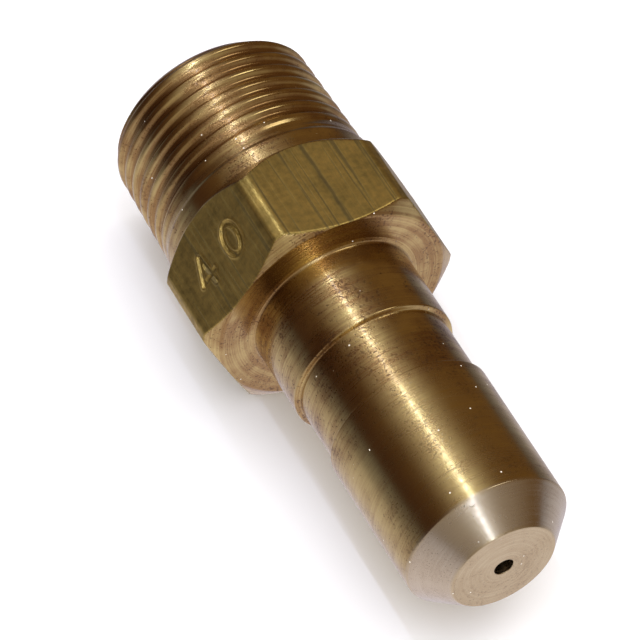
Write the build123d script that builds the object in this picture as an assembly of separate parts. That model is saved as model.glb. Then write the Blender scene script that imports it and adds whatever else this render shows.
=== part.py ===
from build123d import *
from math import atan, cos, degrees, pi, radians, sin, sqrt, tan
import os

# An oil burner nozzle turned from hexagonal brass bar, with its swirl plug, lock screw and
# recessed inlet strainer. Millimetres, real size.
# The axis is the Y axis: the inlet end face is at Y = 0 and the tip points to -Y. A flat of
# the hexagon faces straight up (+Z) and the opposite one straight down.
# A "station" is a distance along the axis from the inlet end, so Y = -station.

# Driving sizes
HEX_ACROSS_FLATS = 18.0
HEX_LENGTH = 8.0
THREAD_DIAMETER = 16.26        # crest at the inlet end, 3/8 inch pipe taper thread
THREAD_PITCH = 25.4 / 19       # 19 threads to the inch
THREAD_TAPER = 1 / 16          # on diameter
THREAD_SECTION_LENGTH = 12.2   # inlet end to the hexagon
BARREL_DIAMETER = 12.7
SHANK_LENGTH = 6.4             # hexagon to the neck
NECK_LENGTH = 5.4
BARREL_LENGTH = 11.4           # neck to the edge of the tip cone
TIP_FACE_DIAMETER = 8.1
TIP_CONE_LENGTH = 2.5
ORIFICE_DIAMETER = 1.5
INLET_BORE_DIAMETER = 11.0
INLET_CHAMFER = 0.5
STRAINER_SEAT_WIDTH = 1.2      # radial, step in the bore that the strainer's washer sits on

# Proportions and clearances tied to the driving sizes
FEED_BORE_DIAMETER = INLET_BORE_DIAMETER - 2 * STRAINER_SEAT_WIDTH
THREAD_DEPTH = 0.56 * THREAD_PITCH
THREAD_ROOT_WIDTH = 0.12 * THREAD_PITCH
THREAD_FLANK_ANGLE = 27.5
THREAD_LEAD_IN = 0.8
THREAD_RUN_OUT = 0.2           # from the last groove to the collar
COLLAR_STEP = 0.4              # radial, from the collar up to a flat
COLLAR_DIAMETER = HEX_ACROSS_FLATS - 2 * COLLAR_STEP
COLLAR_LENGTH = 1.9
COLLAR_SLOPE_LENGTH = 0.3
REAR_CHAMFER_ANGLE = 48.0      # from the end face of the hexagon
FRONT_CHAMFER_ANGLE = 32.0
SHANK_STEP = 0.05              # radial, shank over barrel
SHANK_DIAMETER = BARREL_DIAMETER + 2 * SHANK_STEP
NECK_DEPTH = 0.35
NECK_DIAMETER = BARREL_DIAMETER - 2 * NECK_DEPTH
NECK_FILLET = 0.25
SEAT_ANGLE = 45.0
ORIFICE_LAND = 1.7
SCREW_BORE_STEP = 0.3          # radial, so that the lock screw passes down the feed bore
SCREW_BORE_DIAMETER = FEED_BORE_DIAMETER - 2 * SCREW_BORE_STEP
PLUG_BORE_STEP = 0.7
PLUG_BORE_DIAMETER = SCREW_BORE_DIAMETER - 2 * PLUG_BORE_STEP
PLUG_BORE_LENGTH = 2.6
SCREW_END_CLEARANCE = 0.2      # the screw's bore starts this far behind the tightened screw
FIT_GAP = 0.05                 # radial, between a turned piece and its bore
PLUG_LENGTH_CLEARANCE = 0.2    # the plug's back stands this far inside its bore
STRAINER_POCKET_DEPTH = 15.0   # inlet end to the step that the strainer's washer sits on

# Size number stamped on the flat next to the top one
STAMP_HEIGHT = 3.0
STAMP_WIDTH = 1.9
STAMP_STROKE = 0.34
STAMP_DEPTH = 0.18
STAMP_SPACING = 3.5

# Swirl plug
PLUG_SLOTS = 4
PLUG_SLOT_WIDTH = 0.8
PLUG_SLOT_DEPTH = 0.7
PLUG_SLOT_SKEW = 15.0
PLUG_CHAMBER_GAP = 0.75        # the flat nose stands back from the seat's small end by this radius
PLUG_NOSE_DIAMETER = ORIFICE_DIAMETER + 2 * PLUG_CHAMBER_GAP
PLUG_PIP_DIAMETER = 0.45
PLUG_PIP_REACH = 0.4           # how far the pip stands into the orifice
PLUG_RADIUS = PLUG_BORE_DIAMETER / 2 - FIT_GAP

# Lock screw
SCREW_THREAD_LENGTH = 3.6
SCREW_FEED_DIAMETER = 2.8
SCREW_DRIVER_SLOT_WIDTH = 1.2
SCREW_DRIVER_SLOT_DEPTH = 1.4
SCREW_CROSS_HOLES = 4
SCREW_CROSS_HOLE_DIAMETER = 1.3
SCREW_STEM_GAP = 0.7            # oil gallery around the stem, inside the plug's bore size
SCREW_STEM_DIAMETER = PLUG_BORE_DIAMETER - 2 * SCREW_STEM_GAP
SCREW_FLOOR = 0.5
SCREW_CHAMFER = 0.3
SCREW_STEM_LENGTH = 1.6

# Strainer
WASHER_THICKNESS = 0.4
WASHER_RIM_GAP = 0.2
WASHER_BORE_GAP = 0.1
FLANGE_THICKNESS = 1.4
FLANGE_GAP = 0.3
SPIGOT_LENGTH = 1.6
BASE_SCREW_LENGTH = 4.0
BASE_FEED_DIAMETER = 3.4
BASE_CHAMFER = 0.4
CAGE_WALL = 0.45
CAGE_OIL_GAP = 2.1             # radial, between the cage and the inlet bore
CAGE_DIAMETER = INLET_BORE_DIAMETER - 2 * CAGE_OIL_GAP
CAGE_BORE_RADIUS = CAGE_DIAMETER / 2 - CAGE_WALL
CAGE_HOLE_DIAMETER = 1.4
CAGE_HOLE_ROWS = 4
CAGE_HOLES_AROUND = 6
MESH_WALL = 0.22
MESH_END_GAP = 0.15
CAP_RECESS = 0.7
CAP_THICKNESS = 0.9
CAP_PLUG_LENGTH = 0.9
CAP_CHAMFER = 0.3
CAP_RIM = 0.45                 # how far the cap overhangs the cage

# Stations along the axis
HEX_REAR = THREAD_SECTION_LENGTH
HEX_FRONT = HEX_REAR + HEX_LENGTH
NECK_REAR = HEX_FRONT + SHANK_LENGTH
NECK_FRONT = NECK_REAR + NECK_LENGTH
CONE_REAR = NECK_FRONT + BARREL_LENGTH
TIP = CONE_REAR + TIP_CONE_LENGTH
SEAT_FRONT = TIP - ORIFICE_LAND
SEAT_REAR = SEAT_FRONT - (PLUG_BORE_DIAMETER - ORIFICE_DIAMETER) / 2 / tan(radians(SEAT_ANGLE))
PLUG_BORE_REAR = SEAT_REAR - PLUG_BORE_LENGTH
PLUG_REAR = PLUG_BORE_REAR + PLUG_LENGTH_CLEARANCE
SCREW_THREAD_FRONT = PLUG_BORE_REAR - SCREW_STEM_LENGTH
SCREW_REAR = SCREW_THREAD_FRONT - SCREW_THREAD_LENGTH
SCREW_BORE_REAR = SCREW_REAR - SCREW_END_CLEARANCE
FLANGE_FRONT = STRAINER_POCKET_DEPTH - WASHER_THICKNESS
FLANGE_REAR = FLANGE_FRONT - FLANGE_THICKNESS
CAP_FRONT = CAP_RECESS + CAP_THICKNESS


def turned(*points):
    """A solid of revolution about the Y axis from (radius, station) corners."""
    outline = Polyline(*[(radius, -station) for radius, station in points], close=True)
    return revolve(make_face(outline), Axis.Y)


def tube(outer_radius, inner_radius, rear, front):
    """A plain tube, or a rod where inner_radius is 0."""
    return turned(
        (inner_radius, rear), (outer_radius, rear), (outer_radius, front), (inner_radius, front)
    )


def about_axis(count, start_angle=0.0):
    """Turns about the nozzle's axis, evenly spaced."""
    return [Rotation(0, start_angle + 360.0 * index / count, 0) for index in range(count)]


def hexagon():
    """The spanner hexagon, with its corners turned off by a cone at each end."""
    prism = extrude(
        Plane.XZ.offset(HEX_REAR) * RegularPolygon(HEX_ACROSS_FLATS / 2, 6, major_radius=False),
        HEX_LENGTH,
    )
    flat_radius = HEX_ACROSS_FLATS / 2
    clear_radius = 1.05 * 2 * flat_radius / sqrt(3)
    rear_drop = (clear_radius - flat_radius) * tan(radians(REAR_CHAMFER_ANGLE))
    front_drop = (clear_radius - flat_radius) * tan(radians(FRONT_CHAMFER_ANGLE))
    envelope = turned(
        (0, HEX_REAR),
        (flat_radius, HEX_REAR),
        (clear_radius, HEX_REAR + rear_drop),
        (clear_radius, HEX_FRONT - front_drop),
        (flat_radius, HEX_FRONT),
        (0, HEX_FRONT),
    )
    return prism & envelope


def crest_radius(station):
    """The thread's outside radius, which grows from the inlet end."""
    return THREAD_DIAMETER / 2 + station * THREAD_TAPER / 2


def thread_groove():
    """The V groove of the tapered inlet thread, cut from one pitch before the inlet end."""
    start = -THREAD_PITCH
    end = THREAD_SECTION_LENGTH - COLLAR_LENGTH - THREAD_RUN_OUT
    root_radius = crest_radius(start) - THREAD_DEPTH
    path = Helix(
        THREAD_PITCH, end - start, root_radius, center=(0, 0, start),
        cone_angle=degrees(atan(THREAD_TAPER / 2)),
    )
    reach = THREAD_DEPTH + 0.2
    root_half = THREAD_ROOT_WIDTH / 2
    mouth_half = root_half + reach * tan(radians(THREAD_FLANK_ANGLE))
    section = Plane(path @ 0, x_dir=(1, 0, 0), z_dir=path % 0) * make_face(
        Polyline(
            (0, -root_half), (reach, -mouth_half), (reach, mouth_half), (0, root_half), close=True
        )
    )
    return Rotation(90, 0, 0) * sweep(section, path=path, is_frenet=True)


def body_outside():
    """The turned outside: thread blank, collar, shank, neck, barrel and tip cone."""
    thread_end = THREAD_SECTION_LENGTH - COLLAR_LENGTH
    return turned(
        (0, 0),
        (crest_radius(0) - THREAD_LEAD_IN, 0),
        (crest_radius(THREAD_LEAD_IN), THREAD_LEAD_IN),
        (crest_radius(thread_end), thread_end),
        (COLLAR_DIAMETER / 2, thread_end + COLLAR_SLOPE_LENGTH),
        (COLLAR_DIAMETER / 2, HEX_REAR),
        (SHANK_DIAMETER / 2, HEX_REAR),
        (SHANK_DIAMETER / 2, NECK_REAR),
        (NECK_DIAMETER / 2, NECK_REAR + NECK_FILLET),
        (NECK_DIAMETER / 2, NECK_FRONT - NECK_FILLET),
        (BARREL_DIAMETER / 2, NECK_FRONT),
        (BARREL_DIAMETER / 2, CONE_REAR),
        (TIP_FACE_DIAMETER / 2, TIP),
        (0, TIP),
    )


def body_bore():
    """Everything drilled from the inlet end: strainer bore, feed bore, seat and orifice."""
    mouth_radius = INLET_BORE_DIAMETER / 2 + INLET_CHAMFER
    return turned(
        (0, -1),
        (mouth_radius, -1),
        (mouth_radius, 0),
        (INLET_BORE_DIAMETER / 2, INLET_CHAMFER),
        (INLET_BORE_DIAMETER / 2, STRAINER_POCKET_DEPTH),
        (FEED_BORE_DIAMETER / 2, STRAINER_POCKET_DEPTH),
        (FEED_BORE_DIAMETER / 2, SCREW_BORE_REAR),
        (SCREW_BORE_DIAMETER / 2, SCREW_BORE_REAR),
        (SCREW_BORE_DIAMETER / 2, PLUG_BORE_REAR),
        (PLUG_BORE_DIAMETER / 2, PLUG_BORE_REAR),
        (PLUG_BORE_DIAMETER / 2, SEAT_REAR),
        (ORIFICE_DIAMETER / 2, SEAT_FRONT),
        (ORIFICE_DIAMETER / 2, TIP + 1),
        (0, TIP + 1),
    )


def stamped_number():
    """The size number 40, as the shallow cuts that its stamp leaves."""
    height = STAMP_HEIGHT
    width = STAMP_WIDTH
    stroke = STAMP_STROKE
    upright = Pos(0.22 * width, 0) * Rectangle(stroke, height)
    crossbar = Pos(0, -0.2 * height) * Rectangle(width, stroke)
    slope_angle = degrees(atan(0.7 * height / (0.72 * width)))
    slope_length = sqrt((0.7 * height) ** 2 + (0.72 * width) ** 2)
    slope = Pos(-0.14 * width, 0.15 * height) * Rot(0, 0, slope_angle) * Rectangle(slope_length, stroke)
    four = upright + crossbar + slope
    nought = Ellipse(width / 2, height / 2) - Ellipse(width / 2 - stroke, height / 2 - stroke)
    number = Pos(-STAMP_SPACING / 2, 0) * four + Pos(STAMP_SPACING / 2, 0) * nought
    middle = -(HEX_REAR + HEX_FRONT) / 2
    outward = Vector(-sin(pi / 3), 0, cos(pi / 3))
    face = Plane(
        Vector(0, middle, 0) + outward * (HEX_ACROSS_FLATS / 2 - STAMP_DEPTH),
        x_dir=(cos(pi / 3), 0, sin(pi / 3)),
        z_dir=outward,
    )
    return extrude(face * number, 1.0)


def nozzle_body():
    """The brass body in one piece, with hexagon, tapered thread and orifice."""
    return body_outside() + hexagon() - thread_groove() - body_bore() - stamped_number()


def swirl_plug():
    """The distributor: a coned plug whose skewed slots set the oil spinning."""
    nose_radius = PLUG_NOSE_DIAMETER / 2
    seat_slope = tan(radians(SEAT_ANGLE))
    nose_station = SEAT_FRONT - (nose_radius - ORIFICE_DIAMETER / 2) / seat_slope
    shoulder_station = nose_station - (PLUG_RADIUS - nose_radius) / seat_slope
    pip_station = SEAT_FRONT + PLUG_PIP_REACH
    pip_radius = PLUG_PIP_DIAMETER / 2
    plug = turned(
        (0, PLUG_REAR),
        (PLUG_RADIUS, PLUG_REAR),
        (PLUG_RADIUS, shoulder_station),
        (nose_radius, nose_station),
        (pip_radius, nose_station),
        (pip_radius, pip_station - pip_radius / 2),
        (pip_radius / 2, pip_station),
        (0, pip_station),
    )
    side_middle = (PLUG_REAR + shoulder_station) / 2
    side_length = 2 * (shoulder_station - PLUG_REAR)
    side = Pos(PLUG_RADIUS, -side_middle, 0) * Box(2 * PLUG_SLOT_DEPTH, side_length, PLUG_SLOT_WIDTH)
    slot_length = 1.6 * PLUG_RADIUS
    slot = (
        Pos((PLUG_RADIUS + nose_radius) / 2, -(shoulder_station + nose_station) / 2, nose_radius / 2)
        * Rot(0, 0, -SEAT_ANGLE)
        * Rot(0, -PLUG_SLOT_SKEW, 0)
        * Box(PLUG_SLOT_DEPTH, slot_length, PLUG_SLOT_WIDTH)
    )
    for turn in about_axis(PLUG_SLOTS):
        plug -= turn * side
        plug -= turn * slot
    return plug


def lock_screw():
    """The hollow slotted screw that holds the swirl plug on its seat."""
    screw_radius = SCREW_BORE_DIAMETER / 2 - FIT_GAP
    stem_radius = SCREW_STEM_DIAMETER / 2
    screw = turned(
        (0, SCREW_REAR),
        (screw_radius - SCREW_CHAMFER, SCREW_REAR),
        (screw_radius, SCREW_REAR + SCREW_CHAMFER),
        (screw_radius, SCREW_THREAD_FRONT - SCREW_CHAMFER),
        (screw_radius - SCREW_CHAMFER, SCREW_THREAD_FRONT),
        (stem_radius, SCREW_THREAD_FRONT),
        (stem_radius, PLUG_REAR),
        (0, PLUG_REAR),
    )
    screw -= tube(SCREW_FEED_DIAMETER / 2, 0, SCREW_REAR - 1, PLUG_REAR - SCREW_FLOOR)
    driver_slot = Box(3 * screw_radius, 2 * SCREW_DRIVER_SLOT_DEPTH, SCREW_DRIVER_SLOT_WIDTH)
    screw -= Pos(0, -SCREW_REAR, 0) * driver_slot
    cross_station = (SCREW_THREAD_FRONT + PLUG_REAR - SCREW_FLOOR) / 2
    cross_hole = Pos(0, -cross_station, stem_radius) * Cylinder(
        SCREW_CROSS_HOLE_DIAMETER / 2, SCREW_STEM_DIAMETER
    )
    for turn in about_axis(SCREW_CROSS_HOLES, 45):
        screw -= turn * cross_hole
    return screw


def strainer_washer():
    """The soft aluminium washer between the strainer's flange and the step in the bore."""
    outer = INLET_BORE_DIAMETER / 2 - WASHER_RIM_GAP
    return tube(outer, FEED_BORE_DIAMETER / 2 + WASHER_BORE_GAP, FLANGE_FRONT, STRAINER_POCKET_DEPTH)


def strainer_base():
    """The base that screws into the feed bore and carries the cage on its spigot."""
    spigot = CAGE_BORE_RADIUS - FIT_GAP
    screw_radius = FEED_BORE_DIAMETER / 2 - FIT_GAP
    flange_radius = INLET_BORE_DIAMETER / 2 - FLANGE_GAP
    front = STRAINER_POCKET_DEPTH + BASE_SCREW_LENGTH
    return turned(
        (BASE_FEED_DIAMETER / 2, FLANGE_REAR - SPIGOT_LENGTH),
        (spigot, FLANGE_REAR - SPIGOT_LENGTH),
        (spigot, FLANGE_REAR),
        (flange_radius, FLANGE_REAR),
        (flange_radius, FLANGE_FRONT),
        (screw_radius, FLANGE_FRONT),
        (screw_radius, front - BASE_CHAMFER),
        (screw_radius - BASE_CHAMFER, front),
        (BASE_FEED_DIAMETER / 2, front),
    )


def strainer_cage():
    """The perforated tube that holds the mesh in shape."""
    cage = tube(CAGE_DIAMETER / 2, CAGE_BORE_RADIUS, CAP_FRONT, FLANGE_REAR)
    length = FLANGE_REAR - SPIGOT_LENGTH - CAP_FRONT - CAP_PLUG_LENGTH
    for row in range(CAGE_HOLE_ROWS):
        station = CAP_FRONT + CAP_PLUG_LENGTH + length * (row + 0.5) / CAGE_HOLE_ROWS
        hole = Pos(0, -station, CAGE_DIAMETER / 2) * Cylinder(CAGE_HOLE_DIAMETER / 2, CAGE_DIAMETER / 2)
        for turn in about_axis(CAGE_HOLES_AROUND, 30 * (row % 2)):
            cage -= turn * hole
    return cage


def strainer_mesh():
    """The fine mesh sleeve, as a thin plain tube of its true outside size."""
    inner = CAGE_DIAMETER / 2
    return tube(inner + MESH_WALL, inner, CAP_FRONT + MESH_END_GAP, FLANGE_REAR - MESH_END_GAP)


def strainer_cap():
    """The cap that closes the cage at the inlet, just inside the thread's end."""
    outer = CAGE_DIAMETER / 2 + CAP_RIM
    plug = CAGE_BORE_RADIUS - FIT_GAP
    return turned(
        (0, CAP_RECESS),
        (outer - CAP_CHAMFER, CAP_RECESS),
        (outer, CAP_RECESS + CAP_CHAMFER),
        (outer, CAP_FRONT),
        (plug, CAP_FRONT),
        (plug, CAP_FRONT + CAP_PLUG_LENGTH),
        (0, CAP_FRONT + CAP_PLUG_LENGTH),
    )


PIECES = {
    "nozzle_body": nozzle_body,
    "swirl_plug": swirl_plug,
    "lock_screw": lock_screw,
    "strainer_washer": strainer_washer,
    "strainer_base": strainer_base,
    "strainer_cage": strainer_cage,
    "strainer_mesh": strainer_mesh,
    "strainer_cap": strainer_cap,
}

os.makedirs("parts", exist_ok=True)
for node, make in PIECES.items():
    piece = make()
    piece.label = node
    export_step(piece, f"parts/{node}.step")
    print(node, "solids:", len(piece.solids()), "volume:", round(piece.volume, 2))
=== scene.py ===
from math import cos, pi, radians, sin, tan

import bmesh
import bpy
import numpy as np
from bpy.props import FloatProperty, FloatVectorProperty, IntProperty, PointerProperty
from mathutils import Matrix, Vector


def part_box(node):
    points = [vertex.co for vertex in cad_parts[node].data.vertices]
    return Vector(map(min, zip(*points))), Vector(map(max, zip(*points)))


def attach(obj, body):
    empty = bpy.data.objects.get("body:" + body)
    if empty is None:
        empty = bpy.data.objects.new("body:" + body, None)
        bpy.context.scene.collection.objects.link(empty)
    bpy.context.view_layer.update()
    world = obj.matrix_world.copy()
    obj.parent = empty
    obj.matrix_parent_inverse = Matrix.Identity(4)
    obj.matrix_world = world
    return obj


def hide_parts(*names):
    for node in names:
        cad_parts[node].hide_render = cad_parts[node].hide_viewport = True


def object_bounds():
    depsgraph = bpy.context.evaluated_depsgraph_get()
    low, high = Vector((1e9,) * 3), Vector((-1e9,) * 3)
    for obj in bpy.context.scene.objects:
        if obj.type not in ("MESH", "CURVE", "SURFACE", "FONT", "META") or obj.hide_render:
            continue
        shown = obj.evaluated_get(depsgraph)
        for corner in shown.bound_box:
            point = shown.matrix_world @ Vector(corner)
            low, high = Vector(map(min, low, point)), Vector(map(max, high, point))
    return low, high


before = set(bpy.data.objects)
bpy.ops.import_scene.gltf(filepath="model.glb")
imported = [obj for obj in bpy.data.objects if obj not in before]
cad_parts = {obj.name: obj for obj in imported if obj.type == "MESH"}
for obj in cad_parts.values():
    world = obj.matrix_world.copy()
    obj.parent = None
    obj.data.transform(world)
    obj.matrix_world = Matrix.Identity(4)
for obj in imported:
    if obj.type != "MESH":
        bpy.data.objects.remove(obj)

bl_info = {
    "name": "Oil burner nozzle",
    "version": (1, 0, 0),
    "blender": (4, 5, 0),
    "location": "3D View > Sidebar > Nozzle",
    "description": "Builds a brass oil burner nozzle and its small studio",
    "category": "Object",
}

# The axis is the Y axis. A station is a distance along it from the inlet end, so Y = -station.
CAD_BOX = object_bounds()
BODY_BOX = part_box("nozzle_body")
FLAT_RADIUS = BODY_BOX[1][2]
TIP_STATION = -BODY_BOX[0][1]
ROOT = "root"
MILLIMETRES = 1000.0       # in a metre: surface patterns are laid out in millimetres


def length(name, description, default):
    """A size of the nozzle, in metres."""
    return FloatProperty(name=name, description=description, default=default, unit="LENGTH", precision=5)


def angle(name, description, degrees):
    """An angle, given in degrees."""
    return FloatProperty(name=name, description=description, default=radians(degrees), subtype="ANGLE")


def colour(name, description, default):
    """A linear colour."""
    return FloatVectorProperty(
        name=name, description=description, default=default, subtype="COLOR", size=3, min=0, max=1
    )


class NozzleSizes(bpy.types.PropertyGroup):
    """Sizes of the turned outside, the hexagon and the bores."""

    hexagon_rear: length("Hexagon rear", "Station where the hexagon starts", 0.0122)
    hexagon_front: length("Hexagon front", "Station where the hexagon ends", 0.0202)
    corner_width: length("Corner width", "Rounded strip along each of the hexagon's edges", 0.0008)
    collar_radius: length("Collar radius", "Plain collar between thread and hexagon", 0.0086)
    collar_length: length("Collar length", "Length of the plain collar", 0.0019)
    shank_radius: length("Shank radius", "Cylinder in front of the hexagon", 0.0064)
    shank_length: length("Shank length", "Hexagon to the neck", 0.0064)
    neck_radius: length("Neck radius", "Shallow neck between shank and barrel", 0.0060)
    neck_length: length("Neck length", "Length of the neck", 0.0054)
    barrel_radius: length("Barrel radius", "Cylinder behind the tip cone", 0.00635)
    barrel_length: length("Barrel length", "Neck to the tip cone", 0.0114)
    tip_face_radius: length("Tip face radius", "Flat face round the orifice", 0.00405)
    orifice_radius: length("Orifice radius", "Hole that the oil leaves by", 0.00075)
    orifice_land: length("Orifice length", "Straight part of the orifice", 0.0017)
    inlet_bore_radius: length("Inlet bore radius", "Bore that holds the strainer", 0.0055)
    inlet_chamfer: length("Inlet chamfer", "Chamfer at the bore's mouth", 0.0005)
    strainer_pocket: length("Strainer pocket", "Depth of the inlet bore", 0.0150)
    feed_bore_radius: length("Feed bore radius", "Bore behind the lock screw", 0.0043)
    screw_bore_radius: length("Screw bore radius", "Bore that holds the lock screw", 0.0040)
    screw_bore_length: length("Screw bore length", "Length of the lock screw's bore", 0.0054)
    plug_bore_radius: length("Plug bore radius", "Bore that holds the swirl plug", 0.0033)
    plug_bore_length: length("Plug bore length", "Length of the plug's bore", 0.0026)


class ThreadSizes(bpy.types.PropertyGroup):
    """The tapered inlet thread."""

    crest_radius: length("Crest radius", "Crest at the inlet end", 0.00813)
    pitch: length("Pitch", "One turn's advance along the axis", 0.0254 / 19)
    depth: length("Depth", "Crest to root of the rounded thread", 0.00040)
    lead_in: length("Lead-in", "Chamfer at the thread's start", 0.0008)
    run_out: length("Run-out", "Length over which the last turns fade", 0.0026)
    taper: FloatProperty(name="Taper", description="Growth of the radius per unit length", default=1 / 32)
    around: IntProperty(name="Steps around", description="Mesh steps in one turn", default=480, min=24)
    along: IntProperty(name="Steps along", description="Mesh steps along the thread", default=170, min=20)


class StampSizes(bpy.types.PropertyGroup):
    """The size number stamped on one flat."""

    height: length("Height", "Height of a figure", 0.0030)
    width: length("Width", "Width of a figure", 0.0019)
    spacing: length("Spacing", "Middle of one figure to the next", 0.0035)
    stroke: length("Stroke", "Width of the punched groove", 0.00036)
    depth: length("Depth", "Depth of the punched groove", 0.00016)
    lip: length("Lip", "Height of the metal pushed up beside the groove", 0.00005)


class StrainerSizes(bpy.types.PropertyGroup):
    """The woven sleeve on the strainer's cage."""

    wires_around: IntProperty(name="Wires around", description="Wires along the sleeve", default=72, min=8)
    ring_pitch: length("Ring pitch", "One ring wire to the next", 0.0003)
    wire_radius: length("Wire radius", "Thickness of one wire", 0.00006)


class NozzleFinish(bpy.types.PropertyGroup):
    """Colours of the metals, linear."""

    brass: colour("Brass", "Clean turned brass", (0.70, 0.54, 0.22))
    tip_brass: colour("Tip brass", "Pale skin of the tip's cone", (0.68, 0.59, 0.43))
    # the tarnish colour also paints the shade in the thread's roots and at the shoulder
    tarnish_and_shade: colour("Tarnish", "Brass where it has darkened", (0.35, 0.19, 0.065))
    drawn_brass: colour("Drawn brass", "Skin of the drawn bar on the flats", (0.64, 0.46, 0.13))
    steel: colour("Steel", "Stainless swirl plug and mesh", (0.58, 0.57, 0.54))
    aluminium: colour("Aluminium", "Strainer washer", (0.70, 0.70, 0.69))
    floor: colour("Floor", "Pale studio floor", (0.9, 0.9, 0.9))


class StudioSettings(bpy.types.PropertyGroup):
    """The camera's place, turn and lens."""

    azimuth: angle("Azimuth", "Camera's turn about Z, from the tip's side", -34.95)
    elevation: angle("Elevation", "Camera's rise over the floor", 49.2)
    roll: angle("Roll", "Camera's roll", 9.8)
    distance: length("Distance", "Camera to its target", 0.3161)
    lens: FloatProperty(name="Lens", description="Focal length in millimetres", default=246.8)
    target: FloatVectorProperty(
        name="Target", description="Point in the middle of the view", default=(-0.00171, -0.02134, 0.0003),
        subtype="TRANSLATION",
    )


# ---------------------------------------------------------------- node trees


class Wire:
    """An output socket that can be used in expressions, as a number can."""

    def __init__(self, tree, socket):
        self.tree = tree
        self.socket = socket

    def maths(self, operation, *values):
        return add_node(self.tree, "ShaderNodeMath", {"operation": operation}, *values)

    def __add__(self, other):
        return self.maths("ADD", self, other)

    def __radd__(self, other):
        return self.maths("ADD", other, self)

    def __sub__(self, other):
        return self.maths("SUBTRACT", self, other)

    def __rsub__(self, other):
        return self.maths("SUBTRACT", other, self)

    def __mul__(self, other):
        return self.maths("MULTIPLY", self, other)

    def __rmul__(self, other):
        return self.maths("MULTIPLY", other, self)

    def __truediv__(self, other):
        return self.maths("DIVIDE", self, other)

    def __rtruediv__(self, other):
        return self.maths("DIVIDE", other, self)

    def __abs__(self):
        return self.maths("ABSOLUTE", self)

    def root(self):
        return self.maths("SQRT", self)

    def sine(self):
        return self.maths("SINE", self)

    def cosine(self):
        return self.maths("COSINE", self)

    def turn_from(self, across):
        return self.maths("ARCTAN2", self, across)

    def least(self, other):
        return self.maths("MINIMUM", self, other)

    def most(self, other):
        return self.maths("MAXIMUM", self, other)

    def clamped(self):
        return self.least(1.0).most(0.0)


def add_node(tree, kind, settings, *values, out=0, **named):
    """Adds a node, sets it up, fills its inputs, and returns an output as a Wire, if it has one.

    values fill the inputs in order and named fills them by name, with _ for a space.
    """
    node = tree.nodes.new(kind)
    for key, setting in settings.items():
        if key == "stops":
            fill_ramp(node.color_ramp, setting)
        else:
            setattr(node, key, setting)
    inputs = list(enumerate(values))
    inputs += [(key.replace("_", " "), value) for key, value in named.items()]
    for key, value in inputs:
        if isinstance(value, Wire):
            tree.links.new(value.socket, node.inputs[key])
        elif value is not None:
            node.inputs[key].default_value = value
    return Wire(tree, node.outputs[out]) if node.outputs else None


def fill_ramp(ramp, stops):
    """Gives a colour ramp its (position, grey) stops."""
    while len(ramp.elements) > len(stops):
        ramp.elements.remove(ramp.elements[-1])
    while len(ramp.elements) < len(stops):
        ramp.elements.new(1.0)
    for element, (position, grey) in zip(ramp.elements, stops):
        element.position = position
        element.color = (grey, grey, grey, 1.0)


def new_material(name):
    """An empty node material."""
    material = bpy.data.materials.new(name)
    material.use_nodes = True
    material.node_tree.nodes.clear()
    return material, material.node_tree


def finish_material(tree, uniform, **varying):
    """Ends a tree in a Principled shader: uniform values are set, varying ones are linked."""
    shader = add_node(tree, "ShaderNodeBsdfPrincipled", {}, **varying)
    for key, value in uniform.items():
        shader.socket.node.inputs[key].default_value = value
    add_node(tree, "ShaderNodeOutputMaterial", {}, shader)


def mix_colours(tree, factor, first, second):
    """Mixes two colours, each a tuple or a Wire."""
    first, second = (c if isinstance(c, Wire) else (*c, 1.0) for c in (first, second))
    number_and_vector_inputs = (None,) * 5
    return add_node(
        tree, "ShaderNodeMix", {"data_type": "RGBA"},
        factor, *number_and_vector_inputs, first, second, out=2,
    )


def axis_coordinates(tree):
    """(X, station, Z, radius) of a point on the nozzle, in millimetres."""
    place = add_node(tree, "ShaderNodeTexCoord", {}, out="Object")
    split = add_node(tree, "ShaderNodeSeparateXYZ", {}, place).socket.node
    x, y, z = (Wire(tree, socket) * MILLIMETRES for socket in split.outputs)
    return x, y * -1.0, z, (x * x + z * z).root()


def point(tree, x, y, z):
    """A vector from three values."""
    return add_node(tree, "ShaderNodeCombineXYZ", {}, x, y, z)


def noise(tree, place, scale, detail=2.0, roughness=0.5):
    """Noise from 0 to 1 at a place."""
    return add_node(
        tree, "ShaderNodeTexNoise", {}, out="Fac",
        Vector=place, Scale=scale, Detail=detail, Roughness=roughness,
    )


def ramp(tree, value, *stops):
    """A value read from (position, value) stops. The product turns the ramp's grey into a number."""
    return add_node(tree, "ShaderNodeValToRGB", {"stops": stops}, value) * 1.0


def ramp_along(tree, distance, reach, *stops):
    """A value read from (millimetres, value) stops, of distances from 0 to a reach."""
    return ramp(tree, distance / reach, *((place / reach, value) for place, value in stops))


def bump(tree, strength, distance, height):
    """A normal that follows a height from 0 to 1."""
    return add_node(tree, "ShaderNodeBump", {}, Strength=strength, Distance=distance, Height=height)


# ---------------------------------------------------------------- metals

NOZZLE_REACH = 50.0        # millimetres that a ramp along the nozzle covers
BAR_REACH = 10.0           # and one across the bar
BARE_METAL = {"IOR": 1.5}
LACQUER = {"Coat Weight": 0.3, "Coat Roughness": 0.1, "Coat IOR": 1.5}
SPECK_BROWN = (0.10, 0.04, 0.02)
DUST_PALE = (0.9, 0.85, 0.75)
DRAW_LINE_BROWN = (0.07, 0.05, 0.02)
# near black painted into the woven sleeve's gaps, as the shade seen through them
GAP_PAINTED_SHADE = (0.01, 0.008, 0.006)


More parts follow.
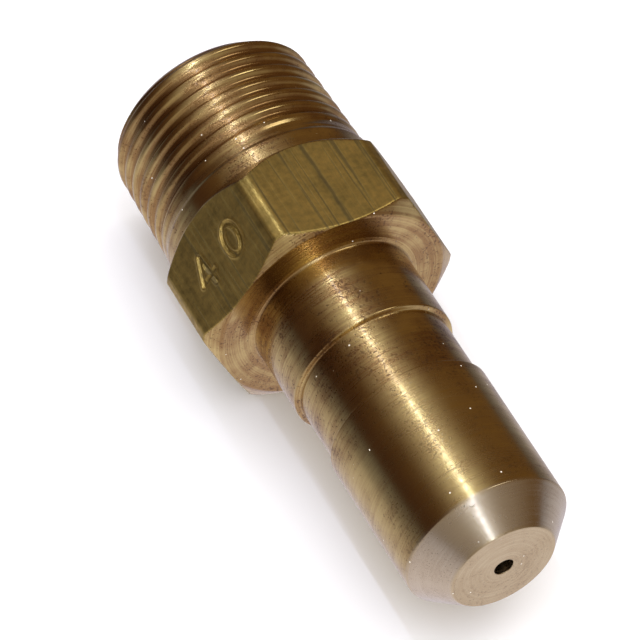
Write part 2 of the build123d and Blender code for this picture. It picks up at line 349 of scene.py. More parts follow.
def turned_brass(finish, thread):
    """Brass as the lathe left it: tool marks, brown patches and specks, dust, darker thread roots that are
    partly tarnish and partly painted shade, and a band of painted shade at the shoulder.
    """
    material, tree = new_material("turned_brass")
    x, station, z, radius = axis_coordinates(tree)
    around = (x * 0.5 + z * 0.8) / radius
    place = point(tree, x, station, z)
    broad_marks = noise(tree, point(tree, station * 3.2, radius * 3.2, around), 1.0)
    fine_marks = noise(tree, point(tree, station * 9.0, radius * 9.0, around * 1.7), 1.0)
    marks = broad_marks * 0.45 + fine_marks * 0.55
    patches = noise(tree, place, 0.3, detail=4.0, roughness=0.6)
    tarnish_and_shade = ramp(tree, patches * 0.5 + marks * 0.5, (0.41, 0.0), (0.59, 1.0))
    crest = station * thread.taper + thread.crest_radius * MILLIMETRES
    on_thread = ramp_along(tree, station, NOZZLE_REACH, (9.8, 1.0), (10.3, 0.0))
    # The thread's roots are darkened: partly tarnish, partly painted shade in the grooves.
    root_tarnish_and_shade = ((crest - radius) / (thread.depth * MILLIMETRES)).clamped() * on_thread
    # A band of painted shade in the corner where the shank meets the hexagon.
    shoulder_painted_shade = ramp_along(
        tree, station, NOZZLE_REACH, (20.0, 0.0), (20.1, 1.0), (20.3, 1.0), (20.5, 0.0)
    )
    # From here the tarnish mask also holds the painted shade of the thread's roots and of the shoulder.
    tarnish_and_shade = (tarnish_and_shade + shoulder_painted_shade * 0.3 + root_tarnish_and_shade * 0.65).clamped()
    grains = noise(tree, place, 4.6, detail=3.0, roughness=0.6)
    nearer_hexagon = ramp_along(tree, station, NOZZLE_REACH, (31.0, 1.0), (35.0, 0.55))
    specks = ramp(tree, grains + patches * 0.5, (0.83, 0.0), (0.93, 1.0)) * nearer_hexagon
    specks = specks * (1.0 - on_thread * 0.4)
    dust = dust_specks(tree, place)
    on_cone = ramp_along(
        tree, station, NOZZLE_REACH, (43.3, 0.0), (43.4, 1.0), (45.83, 1.0), (45.86, 0.6)
    )
    clean = mix_colours(tree, on_cone, tuple(finish.brass), tuple(finish.tip_brass))
    darkening = tarnish_and_shade * nearer_hexagon * (0.9 - on_cone * 0.6)
    colour_here = mix_colours(tree, darkening, clean, tuple(finish.tarnish_and_shade))
    colour_here = mix_colours(tree, specks * (0.65 - on_cone * 0.5), colour_here, SPECK_BROWN)
    colour_here = mix_colours(tree, dust, colour_here, DUST_PALE)
    finish_material(
        tree,
        BARE_METAL | LACQUER,
        Base_Color=colour_here,
        Metallic=1.0 - dust,
        Roughness=(marks * 0.2 + tarnish_and_shade * 0.06 + specks * 0.12 + dust * 0.3 + 0.1).clamped(),
        Normal=bump(tree, 0.5, 0.000008, marks - specks * 0.5),
    )
    return material


def dust_specks(tree, place):
    """1 on a few small specks, 0 elsewhere."""
    cells = add_node(tree, "ShaderNodeTexVoronoi", {}, Vector=place, Scale=1.3)
    node = cells.socket.node
    distance = Wire(tree, node.outputs["Distance"])
    pick = add_node(tree, "ShaderNodeSeparateColor", {}, Wire(tree, node.outputs["Color"]))
    near = ramp(tree, distance, (0.0, 1.0), (0.06, 1.0), (0.09, 0.0))
    return near * ramp(tree, pick, (0.79, 0.0), (0.81, 1.0))


def dimmed(base, share):
    """A darker shade of a colour."""
    return tuple(share * channel for channel in base)


def drawn_brass(finish):
    """The drawn bar's skin on the hexagon's flats: long streaks, a dull olive film, one scar on top."""
    material, tree = new_material("drawn_brass")
    x, station, z, _ = axis_coordinates(tree)
    place = point(tree, x, station, z)
    streaks = noise(tree, point(tree, x * 2.6, z * 2.6, station * 0.05), 1.0, detail=3.0, roughness=0.65)
    hairlines = noise(tree, point(tree, x * 9.0, z * 9.0, station * 0.16), 1.0, detail=2.0)
    patches = noise(tree, place, 0.5, detail=4.0)
    wander = noise(tree, point(tree, station * 0.5, 0.0, 0.0), 1.0)
    on_top_flat = ramp_along(tree, z, BAR_REACH, (8.7, 0.0), (8.8, 1.0))
    scar = ramp(tree, abs(x - 0.1 - wander * 0.4), (0.08, 1.0), (0.26, 0.0)) * on_top_flat
    draw_lines = ramp(tree, streaks, (0.37, 1.0), (0.46, 0.0)).most(scar)
    mottling = noise(tree, place, 2.2, detail=4.0, roughness=0.65)
    film = ramp(tree, streaks * 0.3 + patches * 0.3 + mottling * 0.4, (0.38, 0.0), (0.62, 1.0))
    colour_here = mix_colours(tree, film, tuple(finish.drawn_brass), dimmed(finish.drawn_brass, 0.45))
    colour_here = mix_colours(tree, draw_lines * 0.8, colour_here, DRAW_LINE_BROWN)
    height = hairlines * 0.4 + streaks * 0.6 - draw_lines * 0.5
    finish_material(
        tree,
        BARE_METAL,
        Base_Color=colour_here,
        Metallic=0.95 - draw_lines * 0.2,
        Roughness=(hairlines * 0.16 + film * 0.1 + 0.24).clamped(),
        Normal=bump(tree, 0.6, 0.000012, height),
    )
    return material


def plain_metal(name, base, roughness):
    """A turned metal with fine marks and a little colour variation, for the pieces inside."""
    material, tree = new_material(name)
    x, station, z, radius = axis_coordinates(tree)
    marks = noise(tree, point(tree, station * 7.0, radius * 7.0, (x + z) / radius), 1.0)
    patches = noise(tree, point(tree, x, station, z), 0.8, detail=3.0)
    finish_material(
        tree,
        BARE_METAL,
        Base_Color=mix_colours(tree, patches * 0.6 + marks * 0.3, tuple(base), dimmed(base, 0.6)),
        Metallic=1.0,
        Roughness=(marks * 0.2 + roughness).clamped(),
        Normal=bump(tree, 0.4, 0.00001, marks),
    )
    return material


def woven_steel(finish, strainer):
    """Fine woven wire: wires along the sleeve and round it, each over one and under the next, with painted
    shade in the gaps.
    """
    material, tree = new_material("woven_steel")
    x, station, z, _ = axis_coordinates(tree)
    across = (z.turn_from(x) * (strainer.wires_around / 2)).sine()
    along = (station * (pi / (strainer.ring_pitch * MILLIMETRES))).sine()
    over = across * along
    lengthwise = abs(across) * (over * 0.3 + 0.7)
    ringwise = abs(along) * (0.7 - over * 0.3)
    wire = lengthwise.most(ringwise)
    shade = ramp(tree, wire, (0.35, 0.0), (0.5, 1.0))
    finish_material(
        tree,
        BARE_METAL,
        # The gaps between the wires get painted shade, near black.
        Base_Color=mix_colours(tree, shade, GAP_PAINTED_SHADE, tuple(finish.steel)),
        Metallic=shade,
        Roughness=0.6 - shade * 0.3,
        Normal=bump(tree, 0.8, strainer.wire_radius, wire),
    )
    return material


# ---------------------------------------------------------------- mesh work

ARC_STEPS = 5              # steps round each rounded edge of a turned outline
SUPPORT = 0.00005          # a ring this far from each rounded edge keeps its shading crisp
WELD = 2e-7                # points closer than this are one
SHARP = radians(35)        # edges that turn more than this are shaded sharp


def unit(vector):
    """The vector at length one."""
    return vector / np.linalg.norm(vector)


def rounded(corners):
    """A closed outline of (radius, station) points from (radius, station, rounding) corners."""
    outline = []
    for index, (radius, station, rounding) in enumerate(corners):
        here = np.array((radius, station))
        if not rounding:
            outline.append(here)
            continue
        back = unit(np.array(corners[index - 1][:2]) - here)
        onward = unit(np.array(corners[(index + 1) % len(corners)][:2]) - here)
        half = np.arccos(np.clip(back @ onward, -1, 1)) / 2
        reach = rounding / tan(half)
        centre = here + unit(back + onward) * rounding / sin(half)
        start = here + back * reach - centre
        end = here + onward * reach - centre
        turn = pi - 2 * half
        outline.append(here + back * (reach + SUPPORT))
        for step in range(ARC_STEPS + 1):
            part = step / ARC_STEPS
            weights = sin((1 - part) * turn) / sin(turn), sin(part * turn) / sin(turn)
            outline.append(centre + start * weights[0] + end * weights[1])
        outline.append(here + onward * (reach + SUPPORT))
    return np.array(outline)


def turned_rings(outline, angles):
    """Rings of points about the axis, one for each (radius, station) of an outline."""
    radii, stations = np.asarray(outline)[:, 0, None], np.asarray(outline)[:, 1, None]
    steps = np.ones_like(angles)[None]
    return np.stack([radii * np.cos(angles), -stations * steps, radii * np.sin(angles)], axis=-1)


def ring_mesh(name, rings, closed=True):
    """A mesh that joins each ring to the next, and the last to the first where it is closed."""
    count, steps = rings.shape[:2]
    index = np.arange(count * steps).reshape(count, steps)
    if closed:
        index = np.vstack([index, index[:1]])
    near, far = index[:-1], index[1:]
    faces = np.stack([near, np.roll(near, -1, 1), np.roll(far, -1, 1), far], axis=-1)
    mesh = bpy.data.meshes.new(name)
    mesh.from_pydata(rings.reshape(-1, 3).tolist(), [], faces.reshape(-1, 4).tolist())
    return mesh


def seal(mesh, *others):
    """Welds a mesh, with any others joined to it, turns its faces outwards and marks sharp edges."""
    work = bmesh.new()
    work.from_mesh(mesh)
    for other in others:
        work.from_mesh(other)
        bpy.data.meshes.remove(other)
    bmesh.ops.remove_doubles(work, verts=work.verts, dist=WELD)
    bmesh.ops.recalc_face_normals(work, faces=work.faces)
    for face in work.faces:
        face.smooth = True
    for edge in work.edges:
        edge.smooth = not edge.is_manifold or edge.calc_face_angle(0.0) < SHARP
    work.to_mesh(mesh)
    work.free()
    return mesh


def add_body_piece(name, mesh, *materials):
    """An object at the origin that rides on the nozzle and stands in for part of its body."""
    piece = bpy.data.objects.new(name, mesh)
    bpy.context.scene.collection.objects.link(piece)
    for material in materials:
        mesh.materials.append(material)
    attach(piece, ROOT)
    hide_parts("nozzle_body")


def new_tree(name, sizes):
    """A Geometry Nodes tree whose inputs are named as in sizes, and a Wire for each input."""
    tree = bpy.data.node_groups.new(name, "GeometryNodeTree")
    kinds = {float: "NodeSocketFloat", int: "NodeSocketInt"}
    for key, value in sizes.items():
        kind = kinds.get(type(value), "NodeSocketMaterial")
        tree.interface.new_socket(key, in_out="INPUT", socket_type=kind)
    tree.interface.new_socket("Geometry", in_out="OUTPUT", socket_type="NodeSocketGeometry")
    start = tree.nodes.new("NodeGroupInput")
    return tree, {key: Wire(tree, start.outputs[key]) for key in sizes}


def end_tree(tree, geometry, material):
    """Ends a tree in Realize Instances and Set Material."""
    real = add_node(tree, "GeometryNodeRealizeInstances", {}, geometry)
    painted = add_node(tree, "GeometryNodeSetMaterial", {}, real, Material=material)
    add_node(tree, "NodeGroupOutput", {}, painted)


def mesh_from_tree(name, tree, sizes):
    """The plain mesh that a tree makes with these sizes."""
    maker = bpy.data.objects.new(name, bpy.data.meshes.new(name + "_seed"))
    bpy.context.scene.collection.objects.link(maker)
    modifier = maker.modifiers.new("Build", "NODES")
    modifier.node_group = tree
    for item in tree.interface.items_tree:
        if item.in_out == "INPUT":
            modifier[item.identifier] = sizes[item.name]
    graph = bpy.context.evaluated_depsgraph_get()
    mesh = bpy.data.meshes.new_from_object(maker.evaluated_get(graph))
    maker.modifiers.remove(modifier)
    bpy.data.objects.remove(maker)
    if not mesh.polygons:
        raise RuntimeError(f"the {name} tree made nothing")
    return mesh


def grid_parts(tree, around, along):
    """A grid that will be rolled up, and its two shares from 0 to 1."""
    grid = add_node(
        tree, "GeometryNodeMeshGrid", {}, 1.0, 1.0, Vertices_X=around, Vertices_Y=along
    )
    place = add_node(tree, "GeometryNodeInputPosition", {})
    node = add_node(tree, "ShaderNodeSeparateXYZ", {}, place).socket.node
    return grid, Wire(tree, node.outputs[0]) + 0.5, Wire(tree, node.outputs[1]) + 0.5


# ---------------------------------------------------------------- inlet thread

COLLAR_STEP = 0.16         # share of the collar's length over which the radius swells to it


def thread_tree(sizes):
    """The tapered thread: a rolled grid whose radius follows one helical groove."""
    tree, given = new_tree("Tapered thread", sizes)
    grid, around, along = grid_parts(tree, given["Around"] + 1.0, given["Along"] + 1.0)
    station = along * given["Length"]
    crest = given["Crest Radius"] + station * given["Taper"]
    turns = station / given["Pitch"] - around
    wave = (turns * (2 * pi)).cosine() * 0.5 + 0.5
    flattened = wave * wave * (3.0 - wave * 2.0)
    thread_end = given["Length"] - given["Collar Length"]
    fade = ((thread_end - station) / given["Run Out"]).clamped()
    groove = given["Depth"] * fade * flattened
    swell = ((station - thread_end) / (given["Collar Length"] * COLLAR_STEP)).clamped()
    threaded = crest - groove
    radius = threaded + (given["Collar Radius"] - threaded) * swell
    radius = radius.least(given["Crest Radius"] - given["Lead In"] + station)
    turn = around * (2 * pi)
    place = point(tree, turn.cosine() * radius, station * -1.0, turn.sine() * radius)
    rolled = add_node(tree, "GeometryNodeSetPosition", {}, grid, Position=place)
    end_tree(tree, rolled, given["Material"])
    return tree


def inlet_thread_mesh(nozzle, thread, material):
    """The threaded end, closed by its end faces and its stretch of the inlet bore."""
    sizes = {
        "Crest Radius": thread.crest_radius,
        "Pitch": thread.pitch,
        "Depth": thread.depth,
        "Taper": thread.taper,
        "Length": nozzle.hexagon_rear,
        "Lead In": thread.lead_in,
        "Run Out": thread.run_out,
        "Collar Radius": nozzle.collar_radius,
        "Collar Length": nozzle.collar_length,
        "Around": thread.around,
        "Along": thread.along,
        "Material": material,
    }
    mesh = mesh_from_tree("inlet_thread", thread_tree(sizes), sizes)
    angles = np.linspace(0, 2 * pi, thread.around, endpoint=False)
    bore = nozzle.inlet_bore_radius
    inside = [
        (thread.crest_radius - thread.lead_in, 0.0),
        (bore + nozzle.inlet_chamfer, 0.0),
        (bore, nozzle.inlet_chamfer),
        (bore, nozzle.hexagon_rear),
        (nozzle.collar_radius, nozzle.hexagon_rear),
    ]
    lining = ring_mesh("inlet_lining", turned_rings(inside, angles), closed=False)
    return seal(mesh, lining)


# ---------------------------------------------------------------- hexagon

FLATS = 6
STAMPED_FLAT = radians(150)      # direction of the stamped flat, from +X towards +Z
REAR_CHAMFER = radians(48)       # rise of the turned corners over the end faces
FRONT_CHAMFER = radians(32)
EDGE_SOFTENING = 0.00014         # radial depth over which two surfaces blend
CORNER_SOFTENING = 0.00012
CORNER_REACH = 1.6               # half-widths of a corner strip that get the fine steps
CORNER_STEPS = 20
FLAT_STEPS = 30
STAMPED_FLAT_STEPS = 160
HEXAGON_ROWS = 150
FIGURE_TILTS = (radians(7), radians(-5))
NOUGHT_STROKES = 28
GROOVE_FLOOR = 0.2               # the stamp's groove and lip, as shares of its stroke
GROOVE_WALL = 0.45
LIP_PLACE = 0.8
LIP_WIDTH = 0.25


def hexagon_angles(corner_width):
    """Directions round the hexagon: close together on the stamped flat and at the corners."""
    corner = CORNER_REACH * np.arctan(corner_width / 2 / FLAT_RADIUS)
    flat_reach = FLAT_RADIUS * tan(pi / FLATS - corner)
    angles = []
    for index in range(FLATS):
        middle = STAMPED_FLAT + index * 2 * pi / FLATS
        steps = STAMPED_FLAT_STEPS if index == 0 else FLAT_STEPS
        across = np.linspace(-flat_reach, flat_reach, steps)
        angles.append(middle + np.arctan(across / FLAT_RADIUS))
        edge = middle + pi / FLATS
        angles.append(np.linspace(edge - corner, edge + corner, CORNER_STEPS)[1:-1])
    return np.concatenate(angles)


def bar_section(angles, corner_width):
    """(radius, angle from the nearest flat's middle) of the drawn bar in each direction."""
    off_middle = (angles - STAMPED_FLAT + pi / FLATS) % (2 * pi / FLATS) - pi / FLATS
    off_corner = pi / FLATS - np.abs(off_middle)
    facet = FLAT_RADIUS / cos(pi / FLATS) - corner_width / 2 * tan(pi / FLATS)
    flat = FLAT_RADIUS / np.cos(off_middle)
    return soft_least(flat, facet / np.cos(off_corner), CORNER_SOFTENING), off_middle


def soft_least(first, second, softening):
    """The smaller of two values, blended where they meet."""
    blend = np.maximum(softening - np.abs(first - second), 0) / softening
    return np.minimum(first, second) - blend**2 * softening / 4


def path_distance(across, up, path):
    """Distance from each point to a path of straight strokes."""
    nearest = np.full(across.shape, np.inf)
    for (x0, y0), (x1, y1) in zip(path[:-1], path[1:]):
        run, rise = x1 - x0, y1 - y0
        share = ((across - x0) * run + (up - y0) * rise) / (run * run + rise * rise)
        share = np.clip(share, 0, 1)
        nearest = np.minimum(nearest, np.hypot(across - x0 - share * run, up - y0 - share * rise))
    return nearest


def figure_four(width, height):
    """The strokes of a 4."""
    top = (0.22 * width, height / 2)
    return [
        [top, (-width / 2, -0.2 * height), (width / 2, -0.2 * height)],
        [top, (0.22 * width, -height / 2)],
    ]


def figure_nought(width, height):
    """The stroke of a 0."""
    turns = np.linspace(0, 2 * pi, NOUGHT_STROKES + 1)
    return [list(zip(width / 2 * np.cos(turns), height / 2 * np.sin(turns)))]


def stamped_relief(across, up, stamp):
    """Height of the stamped flat: punched grooves with a raised lip on each side."""
    distance = np.full(across.shape, np.inf)
    width, height = stamp.width - stamp.stroke, stamp.height - stamp.stroke
    figures = (figure_four(width, height), figure_nought(width, height))
    for index, (figure, tilt) in enumerate(zip(figures, FIGURE_TILTS)):
        from_middle = across - (index - 0.5) * stamp.spacing
        turned_across = from_middle * cos(tilt) + up * sin(tilt)
        turned_up = up * cos(tilt) - from_middle * sin(tilt)
        for path in figure:
            distance = np.minimum(distance, path_distance(turned_across, turned_up, path))
    wall = np.clip((distance / stamp.stroke - GROOVE_FLOOR) / GROOVE_WALL, 0, 1)
    groove = -stamp.depth * (1 - wall * wall * (3 - 2 * wall))
    lip = stamp.lip * np.exp(-(((distance / stamp.stroke - LIP_PLACE) / LIP_WIDTH) ** 2))
    return groove + lip


def hexagon_mesh(nozzle, stamp):
    """The spanner hexagon with its turned corners, stamped number and stretch of bore."""
    angles = hexagon_angles(nozzle.corner_width)
    bar_radius, off_middle = bar_section(angles, nozzle.corner_width)
    stations = np.linspace(nozzle.hexagon_rear, nozzle.hexagon_front, HEXAGON_ROWS)[:, None]
    middle = (nozzle.hexagon_rear + nozzle.hexagon_front) / 2
    turned_off = (angles - STAMPED_FLAT + pi) % (2 * pi) - pi
    on_stamped = np.abs(turned_off) < pi / FLATS
    across = np.broadcast_to(-FLAT_RADIUS * np.tan(off_middle), (HEXAGON_ROWS, len(angles)))
    up = np.broadcast_to(middle - stations, across.shape)
    relief = np.where(on_stamped, stamped_relief(across, up, stamp), 0) / np.cos(off_middle)
    bar = bar_radius + relief
    rear_cone = FLAT_RADIUS + (stations - nozzle.hexagon_rear) / tan(REAR_CHAMFER)
    front_cone = FLAT_RADIUS + (nozzle.hexagon_front - stations) / tan(FRONT_CHAMFER)
    cones = np.minimum(rear_cone, front_cone)
    radii = soft_least(bar, cones, EDGE_SOFTENING)
    outside = np.stack(
        [radii * np.cos(angles), np.broadcast_to(-stations, radii.shape), radii * np.sin(angles)], axis=-1
    )
    rim = FLAT_RADIUS - EDGE_SOFTENING
    inside = [
        (rim, nozzle.hexagon_front),
        (nozzle.shank_radius, nozzle.hexagon_front),
        (nozzle.feed_bore_radius, nozzle.hexagon_front),
        (nozzle.feed_bore_radius, nozzle.strainer_pocket),
        (nozzle.inlet_bore_radius, nozzle.strainer_pocket),
        (nozzle.inlet_bore_radius, nozzle.hexagon_rear),
        (nozzle.collar_radius, nozzle.hexagon_rear),
        (rim, nozzle.hexagon_rear),
    ]
    rings = np.concatenate([outside, turned_rings(inside, angles)])
    mesh = ring_mesh("hexagon", rings)
    on_bar = np.zeros((len(rings), len(angles)), dtype=bool)
    on_bar[:HEXAGON_ROWS] = bar < cones
    on_bar[HEXAGON_ROWS - 1] = False
    mesh.polygons.foreach_set("material_index", on_bar.reshape(-1).astype(np.int32))
    return seal(mesh)


# ---------------------------------------------------------------- nose

NOSE_STEPS = 256           # mesh steps round the nose
FINE_EDGE = 0.00006        # rounding of the orifice's edge
TURNED_EDGE = 0.00012      # rounding of the other turned edges
INNER_FILLET = 0.00022     # fillet where the shank meets the hexagon
NECK_SLOPE = 0.00012       # length of the small cones at the neck's ends


def nose_mesh(nozzle):
    """Shank, neck, barrel, tip cone and orifice, with the feed, screw and plug bores inside."""
    front = nozzle.hexagon_front
    neck_rear = front + nozzle.shank_length
    neck_front = neck_rear + nozzle.neck_length
    cone_rear = neck_front + nozzle.barrel_length
    seat_front = TIP_STATION - nozzle.orifice_land
    seat_rear = seat_front - (nozzle.plug_bore_radius - nozzle.orifice_radius)
    plug_rear = seat_rear - nozzle.plug_bore_length
    screw_rear = plug_rear - nozzle.screw_bore_length
    corners = [
        (nozzle.feed_bore_radius, front, 0),
        (nozzle.shank_radius + 2 * INNER_FILLET, front, 0),
        (nozzle.shank_radius, front + INNER_FILLET / 3, INNER_FILLET),
        (nozzle.shank_radius, neck_rear, TURNED_EDGE),
        (nozzle.neck_radius, neck_rear + NECK_SLOPE, TURNED_EDGE),
        (nozzle.neck_radius, neck_front - NECK_SLOPE, TURNED_EDGE),
        (nozzle.barrel_radius, neck_front, TURNED_EDGE),
        (nozzle.barrel_radius, cone_rear, TURNED_EDGE),
        (nozzle.tip_face_radius, TIP_STATION, TURNED_EDGE),
        (nozzle.orifice_radius, TIP_STATION, FINE_EDGE),
        (nozzle.orifice_radius, seat_front, 0),
        (nozzle.plug_bore_radius, seat_rear, 0),
        (nozzle.plug_bore_radius, plug_rear, 0),
        (nozzle.screw_bore_radius, plug_rear, 0),
        (nozzle.screw_bore_radius, screw_rear, 0),
        (nozzle.feed_bore_radius, screw_rear, 0),
    ]
    angles = np.linspace(0, 2 * pi, NOSE_STEPS, endpoint=False)
    return seal(ring_mesh("nose", turned_rings(rounded(corners), angles)))


# ---------------------------------------------------------------- operators


class NOZZLE_OT_thread(bpy.types.Operator):
    """Build the inlet thread and its collar"""

    bl_idname = "nozzle.thread"
    bl_label = "Inlet thread"

    def execute(self, context):
        scene = context.scene
        material = turned_brass(scene.nozzle_finish, scene.nozzle_thread)
        mesh = inlet_thread_mesh(scene.nozzle_sizes, scene.nozzle_thread, material)
        mesh.materials.clear()
        add_body_piece("inlet_thread", mesh, material)
        return {"FINISHED"}


class NOZZLE_OT_hexagon(bpy.types.Operator):
    """Build the spanner hexagon with its stamped number"""

    bl_idname = "nozzle.hexagon"
    bl_label = "Hexagon"

    def execute(self, context):
        scene = context.scene
        mesh = hexagon_mesh(scene.nozzle_sizes, scene.nozzle_stamp)
        turned = bpy.data.materials["turned_brass"]
        add_body_piece("spanner_hexagon", mesh, turned, drawn_brass(scene.nozzle_finish))
        return {"FINISHED"}


class NOZZLE_OT_nose(bpy.types.Operator):
    """Build the shank, neck, barrel and tip"""

    bl_idname = "nozzle.nose"
    bl_label = "Nose"

    def execute(self, context):
        mesh = nose_mesh(context.scene.nozzle_sizes)
        add_body_piece("nose", mesh, bpy.data.materials["turned_brass"])
        return {"FINISHED"}


class NOZZLE_OT_inside(bpy.types.Operator):
    """Give the pieces inside the bore their metals"""

    bl_idname = "nozzle.inside"
    bl_label = "Inside pieces"

    def execute(self, context):
        scene = context.scene
        finish = scene.nozzle_finish
        metals = {
            "swirl_plug": plain_metal("ground_steel", finish.steel, 0.22),
            "lock_screw": plain_metal("screw_brass", finish.brass, 0.3),
            "strainer_washer": plain_metal("soft_aluminium", finish.aluminium, 0.4),
            "strainer_mesh": woven_steel(finish, scene.nozzle_strainer),
        }
        cage_brass = plain_metal("strainer_brass", finish.brass, 0.26)
        metals |= {node: cage_brass for node in ("strainer_base", "strainer_cage", "strainer_cap")}
        for node, material in metals.items():
            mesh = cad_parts[node].data
            mesh.materials.clear()
            mesh.materials.append(material)
        return {"FINISHED"}


class NOZZLE_OT_studio(bpy.types.Operator):
    """Set up the floor, the lights and the camera"""

    bl_idname = "nozzle.studio"
    bl_label = "Studio"

    def execute(self, context):
        scene = context.scene
        lay_floor(scene.nozzle_finish)
        hang_lights()
        dim_room()
        aim_camera(scene.nozzle_studio)
        scene.view_settings.view_transform = "Standard"
        return {"FINISHED"}


# ---------------------------------------------------------------- studio

FLOOR_REACH = 3.0
NOZZLE_MIDDLE = Vector((0, -0.02, 0))
STRIP_TURN = radians(12)         # the strip light's turn about the axis, from above to -X
STRIP_DISTANCE = 0.59
STRIP_MIDDLE = -0.25             # its middle along Y
STRIP_SIZE = (0.016, 2.2)
COOL_WHITE = (0.85, 0.95, 1.3)
DARK_WALL = (0.06, 0.028, 0.018)
LIT_WALL = (0.15, 0.085, 0.036)
FRONT_LIGHT = (0.42, 0.36, 0.31)
GLOW_TINT = (1.0, 0.97, 1.0)
LOW_TINT = (1.0, 0.93, 1.03)
BLACK = (0.0, 0.0, 0.0)


def lay_floor(finish):
    """A plain pale floor under the hexagon. The metal mirrors the room's low light in its place."""
    material, tree = new_material("pale_floor")
    finish_material(
        tree, {"Base Color": (*finish.floor, 1.0), "Roughness": 0.7, "Specular IOR Level": 0.2}
    )
    mesh = bpy.data.meshes.new("floor")
    level = CAD_BOX[0][2]
    signs = ((-1, -1), (1, -1), (1, 1), (-1, 1))
    corners = [(x * FLOOR_REACH, y * FLOOR_REACH, level) for x, y in signs]
    mesh.from_pydata(corners, [], [(0, 1, 2, 3)])
    mesh.materials.append(material)
    floor = bpy.data.objects.new("floor", mesh)
    floor.visible_glossy = False
    bpy.context.scene.collection.objects.link(floor)


def add_lamp(name, place, turn, size, power, tint=(1, 1, 1), seen_in_metal=True):
    """A rectangular lamp; size is along its own X and Y, and it shines along its own -Z."""
    lamp = bpy.data.lights.new(name, "AREA")
    lamp.shape = "RECTANGLE"
    lamp.size, lamp.size_y = size
    lamp.energy = power
    lamp.color = tint
    holder = bpy.data.objects.new(name, lamp)
    holder.rotation_euler = turn
    holder.location = place
    holder.visible_glossy = seen_in_metal
    bpy.context.scene.collection.objects.link(holder)


def facing_nozzle(place):
    """The turn of a lamp at a place that faces the nozzle's middle."""
    return (Vector(place) - NOZZLE_MIDDLE).normalized().to_track_quat("Z", "Y").to_euler()


def hang_lights():
    """A long strip along the nozzle, a soft box over it, and fill that only the floor shows."""
    side, rise = sin(STRIP_TURN), cos(STRIP_TURN)
    strip_place = (-side * STRIP_DISTANCE, STRIP_MIDDLE, rise * STRIP_DISTANCE)
    strip_turn = Matrix(((rise, 0, -side), (0, 1, 0), (side, 0, rise))).to_euler()
    add_lamp("strip", strip_place, strip_turn, STRIP_SIZE, power=1.4, tint=COOL_WHITE)
    for name, place, size, power, seen_in_metal in (
        ("soft_box", (0.38, -0.05, 0.9), 0.4, 1.0, True),
        ("fill", (0.1, -0.2, 1.5), 3.0, 40, False),
        ("side_fill", (-1.2, -0.7, 0.7), 1.5, 15, False),
    ):
        add_lamp(
            name, place, facing_nozzle(place), (size, size), power, seen_in_metal=seen_in_metal
        )


def dim_room():
    """The room that the metal mirrors: a glow along the strip, brown sides, pale below."""
    world = bpy.data.worlds.new("room")
    bpy.context.scene.world = world
    world.use_nodes = True
    tree = world.node_tree
    tree.nodes.clear()
    direction = add_node(tree, "ShaderNodeTexCoord", {}, out="Generated")
    node = add_node(tree, "ShaderNodeSeparateXYZ", {}, direction).socket.node
    side, ahead, rise = (Wire(tree, socket) for socket in node.outputs)
    lit_side = ramp(tree, (side * 0.5 + rise * 0.87 + 0.3) / 1.3, (0.05, 0.0), (0.62, 1.0))
    off_axis = (side * side + rise * rise).root().most(0.05)
    from_strip = abs(side * cos(STRIP_TURN) + rise * sin(STRIP_TURN)) / off_axis
    glow = ramp(
        tree, from_strip, (0.0, 0.75), (0.13, 0.66), (0.26, 0.45), (0.39, 0.24), (0.52, 0.09), (0.68, 0.0)
    )
    in_front = ramp(tree, ahead * -1.0, (0.5, 0.0), (0.9, 1.0))
    depth = (rise * -1.0 - ahead * 0.3 + 0.2) / 1.2
    low_light = ramp(tree, depth, (0.0, 0.05), (0.3, 0.26), (0.42, 0.46), (0.72, 0.68), (1.0, 0.8))
    below = ramp(tree, rise * -1.0 + 0.05, (0.03, 0.0), (0.1, 1.0))
    walls = mix_colours(tree, lit_side, DARK_WALL, LIT_WALL)
    walls = mix_colours(tree, in_front, walls, FRONT_LIGHT)
    above_colour = mix_colours(tree, glow, walls, GLOW_TINT)
    below_colour = mix_colours(tree, low_light, BLACK, LOW_TINT)
    shade = mix_colours(tree, below, above_colour, below_colour)
    background = add_node(tree, "ShaderNodeBackground", {}, Color=shade, Strength=1.0)
    add_node(tree, "ShaderNodeOutputWorld", {}, background)


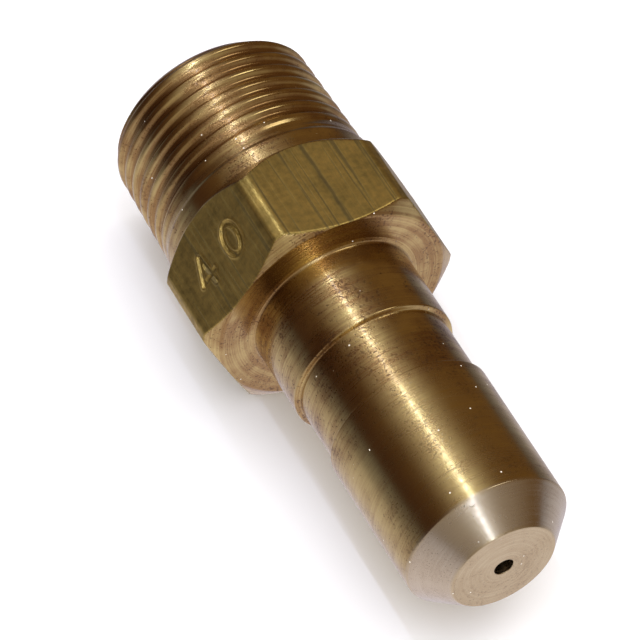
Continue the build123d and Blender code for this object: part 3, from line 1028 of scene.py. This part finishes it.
def aim_camera(studio):
    """The camera, looking down on the tip from the strip's side."""
    data = bpy.data.cameras.new("camera")
    data.lens = studio.lens
    data.sensor_width = 36
    data.clip_start = 0.01
    camera = bpy.data.objects.new("camera", data)
    azimuth, elevation = studio.azimuth, studio.elevation
    back = Vector((sin(azimuth) * cos(elevation), -cos(azimuth) * cos(elevation), sin(elevation)))
    level = Vector((cos(azimuth), sin(azimuth), 0))
    above = back.cross(level)
    right = level * cos(studio.roll) + above * sin(studio.roll)
    up = back.cross(right)
    camera.matrix_world = Matrix((right, up, back)).transposed().to_4x4()
    camera.location = Vector(studio.target) + back * studio.distance
    bpy.context.scene.collection.objects.link(camera)
    bpy.context.scene.camera = camera


# ---------------------------------------------------------------- panel


class NOZZLE_PT_panel(bpy.types.Panel):
    """The nozzle's operators"""

    bl_label = "Oil burner nozzle"
    bl_idname = "NOZZLE_PT_panel"
    bl_space_type = "VIEW_3D"
    bl_region_type = "UI"
    bl_category = "Nozzle"

    def draw(self, context):
        for step in STEPS:
            self.layout.operator(step.bl_idname)


GROUPS = {
    "nozzle_sizes": NozzleSizes,
    "nozzle_thread": ThreadSizes,
    "nozzle_stamp": StampSizes,
    "nozzle_strainer": StrainerSizes,
    "nozzle_finish": NozzleFinish,
    "nozzle_studio": StudioSettings,
}
STEPS = (NOZZLE_OT_thread, NOZZLE_OT_hexagon, NOZZLE_OT_nose, NOZZLE_OT_inside, NOZZLE_OT_studio)


def register():
    for name, group in GROUPS.items():
        bpy.utils.register_class(group)
        setattr(bpy.types.Scene, name, PointerProperty(type=group))
    for step in (*STEPS, NOZZLE_PT_panel):
        bpy.utils.register_class(step)


def unregister():
    for step in reversed((*STEPS, NOZZLE_PT_panel)):
        bpy.utils.unregister_class(step)
    for name, group in reversed(GROUPS.items()):
        delattr(bpy.types.Scene, name)
        bpy.utils.unregister_class(group)


def main():
    register()
    bpy.ops.nozzle.thread()
    bpy.ops.nozzle.hexagon()
    bpy.ops.nozzle.nose()
    bpy.ops.nozzle.inside()
    bpy.ops.nozzle.studio()


if __name__ == "__main__":
    main()
